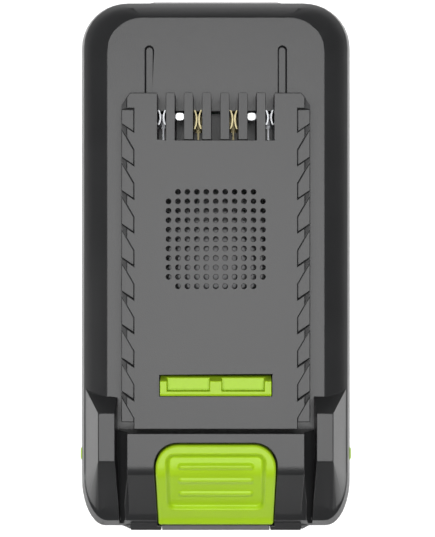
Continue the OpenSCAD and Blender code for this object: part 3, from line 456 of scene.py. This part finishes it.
def eased(node, radius, fine_zones=()):
    """A piece with the node's shape, in which each open edge gets a small round.

    Edges inside a fine zone, a box given by two corners, get the fine round instead."""
    mesh = NODES[node].data.copy()
    mesh.name = node + "_eased"
    shape = bmesh.new()
    shape.from_mesh(mesh)
    bmesh.ops.remove_doubles(shape, verts=shape.verts, dist=CLOSE)
    bmesh.ops.dissolve_limit(shape, angle_limit=FLAT, verts=shape.verts, edges=shape.edges, delimit={"NORMAL"})

    def is_fine(edge):
        middle = (edge.verts[0].co + edge.verts[1].co) / 2
        return any(all(low[i] <= middle[i] <= high[i] for i in range(3)) for low, high in fine_zones)

    sharp = [edge for edge in shape.edges if len(edge.link_faces) == 2 and edge.calc_face_angle() > SHARPEST
             and exposed(edge) and not tight(edge)]
    fine = {edge for edge in sharp if is_fine(edge)}
    rounds = set()
    for edges, size in (([edge for edge in sharp if edge not in fine], radius), (fine, FINE_ROUND)):
        edges = [edge for edge in edges if edge.is_valid]
        if edges:
            made = bmesh.ops.bevel(shape, geom=edges, offset=size, offset_type="OFFSET", segments=ROUND_STEPS,
                                   profile=0.5, affect="EDGES", clamp_overlap=False, miter_outer="SHARP",
                                   miter_inner="SHARP")
            rounds = {face for face in rounds if face.is_valid} | set(made["faces"])
    shape.normal_update()
    normals = hardened(shape, rounds)
    shape.to_mesh(mesh)
    shape.free()
    stands_for(mesh, node)
    mesh.normals_split_custom_set(normals)


def opening_zones():
    """Two boxes: over the vent holes, and round the contact slots, where the slots' ends need a margin."""
    above_all, margin_low, margin_high = 1.0, 1 * MM, 6 * MM
    vent_low, vent_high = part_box("board_shield")
    block_low, block_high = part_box("terminal_block")
    return ((Vector((vent_low.x, vent_low.y, vent_high.z)), Vector((vent_high.x, vent_high.y, above_all))),
            (Vector((block_low.x, block_low.y - margin_low, block_low.z)),
             Vector((block_high.x, block_high.y + margin_high, above_all))))


# Radius of the broken edges, in millimetres
EASED = {"interface_cover": 0.30, "base_shell": 0.35, "latch_slider": 0.25, "terminal_block": 0.12,
         "end_pad": 0.35, "accent_left": 0.2, "accent_right": 0.2, "gauge_bezel": 0.25, "terminal_screws": 0.25,
         "check_button": 0.3}
for name, radius in EASED.items():
    eased(name, radius * MM, opening_zones() if name == "interface_cover" else ())


# ------------------------------------------------------------------ release button

BUTTON_LOW, BUTTON_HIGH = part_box("release_button")
BUTTON_WALL = 2.5 * MM
BACK_CORNER, FRONT_CORNER = 6.5 * MM, 0.8 * MM
RIM = 0.9 * MM
# Thumb recess: distance of its middle from the back edge, half sizes, corner, depth and span of its side
RECESS_BACK, RECESS_X, RECESS_Y, RECESS_CORNER = 11.6 * MM, 14.4 * MM, 9.2 * MM, 2.6 * MM
RECESS_DEPTH, RECESS_SIDE = 1.75 * MM, (-1.5 * MM, 0.1 * MM)
# Grip ribs: distances from the back edge, half sizes, corner, height and span of their sides
RIB_BACKS = (6.4 * MM, 11.0 * MM, 15.5 * MM)
RIB_X, RIB_Y, RIB_CORNER = 10.8 * MM, 0.95 * MM, 0.9 * MM
RIB_HEIGHT, RIB_SIDE = 0.8 * MM, (-0.8 * MM, 0.3 * MM)
# Rise of the foot over the bridge, gap to it, roof added under the recess, and least hollow over the foot
BRIDGE_STEP, BRIDGE_GAP, UNDER_RECESS, LEAST_HOLLOW = 1.3 * MM, 0.3 * MM, 0.8 * MM, 0.1 * MM
# Spring cups: gap round the spring, wall, and reach under and over the spring's top
CUP_GAP, CUP_WALL, CUP_UNDER, CUP_OVER = 0.3 * MM, 1.1 * MM, 3 * MM, 3.5 * MM
# Steps of the grid along and across the button, and how much they crowd to the edges
ROWS, COLUMNS, ROW_CROWD, COLUMN_CROWD = 150, 130, 0.75, 0.5
# Distance from the button's back edge and drop of its top there, in millimetres: flat, bend, slope and lip
BUTTON_SIDE = ((0.0, 0.0), (5.85, 0.0), (6.9, 0.09), (7.9, 0.31), (8.85, 0.70), (24.55, 13.8), (27.85, 14.4))


def along_side(back):
    """Drop of the button's top at a distance from its back edge, both in millimetres."""
    back = max(back, 0.0)
    for (start, high), (stop, low) in zip(BUTTON_SIDE, BUTTON_SIDE[1:]):
        if back <= stop:
            return high + (low - high) * (back - start) / (stop - start)
    return BUTTON_SIDE[-1][1]


def side_drop(y):
    """The same drop in metres, with the bend eased over a millimetre each way."""
    back = (BUTTON_HIGH.y - y) / MM
    shifts = (-1.2, -0.8, -0.4, 0.0, 0.4, 0.8, 1.2)
    return sum(along_side(back + shift) for shift in shifts) / len(shifts) * MM


def step(value, low, high):
    """0 below low, 1 above high, and a smooth step between."""
    t = min(max((value - low) / (high - low), 0.0), 1.0)
    return t * t * (3 - 2 * t)


def outside_box(x, y, half_x, half_y, corner):
    """Distance outside a box with round corners, less than 0 inside."""
    over_x, over_y = abs(x) - half_x + corner, abs(y) - half_y + corner
    return math.hypot(max(over_x, 0.0), max(over_y, 0.0)) + min(max(over_x, over_y), 0.0) - corner


def half_width(y, inset):
    """Half the button's width at y, with its round corners."""
    half = BUTTON_HIGH.x - inset
    for edge, corner in ((BUTTON_HIGH.y - inset, BACK_CORNER - inset), (BUTTON_LOW.y + inset, FRONT_CORNER)):
        gap = abs(edge - y)
        if gap < corner:
            bend = math.sqrt(max(corner ** 2 - (corner - gap) ** 2, 0.0))
            half = min(half, BUTTON_HIGH.x - inset - corner + bend)
    return half


def button_top(x, y):
    """Height of the button's top: its side view, a thumb recess with soft sides, grip ribs and a round rim."""
    middle = (BUTTON_LOW.y + BUTTON_HIGH.y) / 2
    half_y = (BUTTON_HIGH.y - BUTTON_LOW.y) / 2
    corner = BACK_CORNER if y > middle else FRONT_CORNER
    inside = -outside_box(x, y - middle, BUTTON_HIGH.x, half_y, corner)
    edge = 1 - min(max(inside, 0.0), RIM) / RIM
    height = BUTTON_HIGH.z - side_drop(y) - RIM * (1 - math.sqrt(max(1 - edge * edge, 0.0)))
    recess = outside_box(x, y - BUTTON_HIGH.y + RECESS_BACK, RECESS_X, RECESS_Y, RECESS_CORNER)
    height -= RECESS_DEPTH * (1 - step(recess, *RECESS_SIDE))
    for back in RIB_BACKS:
        rib = outside_box(x, y - BUTTON_HIGH.y + back, RIB_X, RIB_Y, RIB_CORNER)
        height += RIB_HEIGHT * (1 - step(rib, *RIB_SIDE))
    return height


def spread(low, high, count, crowd):
    """Places from low to high that crowd towards both ends."""
    places = []
    for i in range(count + 1):
        t = i / count
        places.append(low + (high - low) * (t * (1 - crowd) + (0.5 - 0.5 * math.cos(math.pi * t)) * crowd))
    return places


def sheet(shape, inset, height):
    """A grid over the button's plan, set in all round, with the given height at each point. Gives its rim."""
    grid = []
    for y in spread(BUTTON_LOW.y + inset, BUTTON_HIGH.y - inset, ROWS, ROW_CROWD):
        half = half_width(y, inset)
        grid.append([shape.verts.new((x, y, height(x, y))) for x in spread(-half, half, COLUMNS, COLUMN_CROWD)])
    for below, above in zip(grid, grid[1:]):
        for i in range(COLUMNS):
            shape.faces.new((below[i], below[i + 1], above[i + 1], above[i]))
    return grid[0][:-1] + [row[-1] for row in grid[:-1]] + grid[-1][:0:-1] + [row[0] for row in grid[:0:-1]]


def band(shape, first, second):
    """Faces between two closed rims of equal length."""
    for i in range(len(first)):
        j = (i + 1) % len(first)
        shape.faces.new((first[i], first[j], second[j], second[i]))


def lathe(shape, centre, section, sides=40):
    """A closed ring turned round an upright axis, from radius and height pairs."""
    loops = []
    for i in range(sides):
        turn = 2 * math.pi * i / sides
        loops.append([shape.verts.new((centre[0] + r * math.cos(turn), centre[1] + r * math.sin(turn), z))
                      for r, z in section])
    for i in range(sides):
        a, b = loops[i], loops[(i + 1) % sides]
        for j in range(len(section)):
            k = (j + 1) % len(section)
            shape.faces.new((a[j], b[j], b[k], a[k]))


def release_button():
    """A thick shell with its foot on the latch bridge, and a cup for each spring."""
    shape = bmesh.new()
    bridge_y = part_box("latch_slider")[0].y - BRIDGE_GAP

    def foot(y):
        return BUTTON_LOW.z if y < bridge_y else BUTTON_LOW.z + BRIDGE_STEP

    def ceiling(x, y):
        return max(BUTTON_HIGH.z - side_drop(y) - BUTTON_WALL - UNDER_RECESS, foot(y) + LEAST_HOLLOW)

    def dropped(rim):
        return [shape.verts.new((vert.co.x, vert.co.y, foot(vert.co.y))) for vert in rim]

    outer = sheet(shape, 0.0, button_top)
    inner = sheet(shape, BUTTON_WALL, ceiling)
    outer_foot, inner_foot = dropped(outer), dropped(inner)
    band(shape, outer, outer_foot)
    band(shape, outer_foot, inner_foot)
    band(shape, inner_foot, inner)
    for spring in ("latch_spring_left", "latch_spring_right"):
        low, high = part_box(spring)
        bore = (high.x - low.x) / 2 + CUP_GAP
        under, over = high.z - CUP_UNDER, high.z + CUP_OVER
        lathe(shape, ((low.x + high.x) / 2, (low.y + high.y) / 2),
              ((bore, under), (bore + CUP_WALL, under), (bore + CUP_WALL, over), (bore, over)))
    bmesh.ops.recalc_face_normals(shape, faces=shape.faces)
    mesh = bpy.data.meshes.new("release_button_eased")
    shape.to_mesh(mesh)
    shape.free()
    stands_for(mesh, "release_button")
    mesh.set_sharp_from_angle(angle=BUTTON_CREASE)


release_button()

for name, node in NODES.items():
    node.data.materials.clear()
    node.data.materials.append(FINISHES[SLOT_OF[name]].material)
    if name not in EASED:
        for face in node.data.polygons:
            face.use_smooth = True
        node.data.set_sharp_from_angle(angle=NODE_CREASE)


# ------------------------------------------------------------------ studio

PALE = (0.90, 0.90, 0.90)
REACH, WALL_HEIGHT, WALL_SIDES = 2.0, 3.0, 48
FLOOR_DROP, WALL_INSET, WALL_FOOT = 0.2 * MM, 20 * MM, 1 * MM


def studio_finish(name, glow):
    finish = Finish(name)
    dust = finish.noise(9.0, 3.0)
    finish.set(Base_Color=finish.mix(dust, shade(PALE, 0.985), PALE), Roughness=dust * 0.1 + 0.75,
               Emission_Color=(1.0, 1.0, 1.0), Emission_Strength=glow)
    return finish


def studio_piece(name, points, faces, glow, height=0.0):
    mesh = bpy.data.meshes.new(name)
    mesh.from_pydata(points, [], faces)
    mesh.materials.append(studio_finish(name, glow).material)
    piece = bpy.data.objects.new(name, mesh)
    bpy.context.scene.collection.objects.link(piece)
    piece.location.z = height
    return piece


def floor():
    corners = [(-REACH, -REACH, 0), (REACH, -REACH, 0), (REACH, REACH, 0), (-REACH, REACH, 0)]
    studio_piece("studio_floor", corners, [(0, 1, 2, 3)], glow=0.30, height=-FLOOR_DROP)


def backdrop():
    """A pale wall round the floor, seen by the camera alone."""
    radius, turn = REACH - WALL_INSET, 2 * math.pi / WALL_SIDES
    points = [(radius * math.cos(turn * i), radius * math.sin(turn * i), z)
              for z in (-WALL_FOOT, WALL_HEIGHT) for i in range(WALL_SIDES)]
    faces = []
    for i in range(WALL_SIDES):
        j = (i + 1) % WALL_SIDES
        faces.append((i, j, WALL_SIDES + j, WALL_SIDES + i))
    wall = studio_piece("studio_wall", points, faces, glow=0.60)
    wall.visible_diffuse = wall.visible_glossy = wall.visible_transmission = wall.visible_shadow = False


def softbox(name, place, target, width, height, power):
    lamp = bpy.data.lights.new(name, "AREA")
    lamp.shape = "RECTANGLE"
    lamp.size, lamp.size_y = width, height
    lamp.energy = power
    box = bpy.data.objects.new(name, lamp)
    bpy.context.scene.collection.objects.link(box)
    box.location = place
    box.rotation_euler = (Vector(target) - Vector(place)).to_track_quat("-Z", "Y").to_euler()


def camera():
    """A long lens straight above the pack, a little off its middle."""
    lens = bpy.data.cameras.new("camera")
    lens.sensor_fit = "HORIZONTAL"
    lens.sensor_width = 36.0
    lens.lens = 87.5
    lens.clip_start = 0.01
    view = bpy.data.objects.new("camera", lens)
    bpy.context.scene.collection.objects.link(view)
    view.location = (0.0005, -0.00115, 0.365)
    bpy.context.scene.camera = view


def world():
    sky = bpy.data.worlds.new("studio")
    bpy.context.scene.world = sky
    sky.use_nodes = True
    background = sky.node_tree.nodes["Background"].inputs
    background["Color"].default_value = (1.0, 1.0, 1.0, 1.0)
    background["Strength"].default_value = 0.03


def key_sun(power):
    """A high, narrow light straight above, so that each vent hole lights a spot on the shield under it."""
    lamp = bpy.data.lights.new("zenith", "SUN")
    lamp.energy = power
    lamp.angle = math.radians(0.6)
    sun = bpy.data.objects.new("zenith", lamp)
    bpy.context.scene.collection.objects.link(sun)
    sun.visible_glossy = False


floor()
backdrop()
pack_middle = (0.0, 0.0, 0.05)
softbox("overhead", (0.0, 0.0, 1.05), pack_middle, width=0.90, height=0.90, power=10.5)
softbox("left_side", (-0.9, -0.1, 0.10), pack_middle, width=0.15, height=0.9, power=0.35)
key_sun(power=1.1)
camera()
world()
bpy.context.scene.view_settings.view_transform = "Standard"
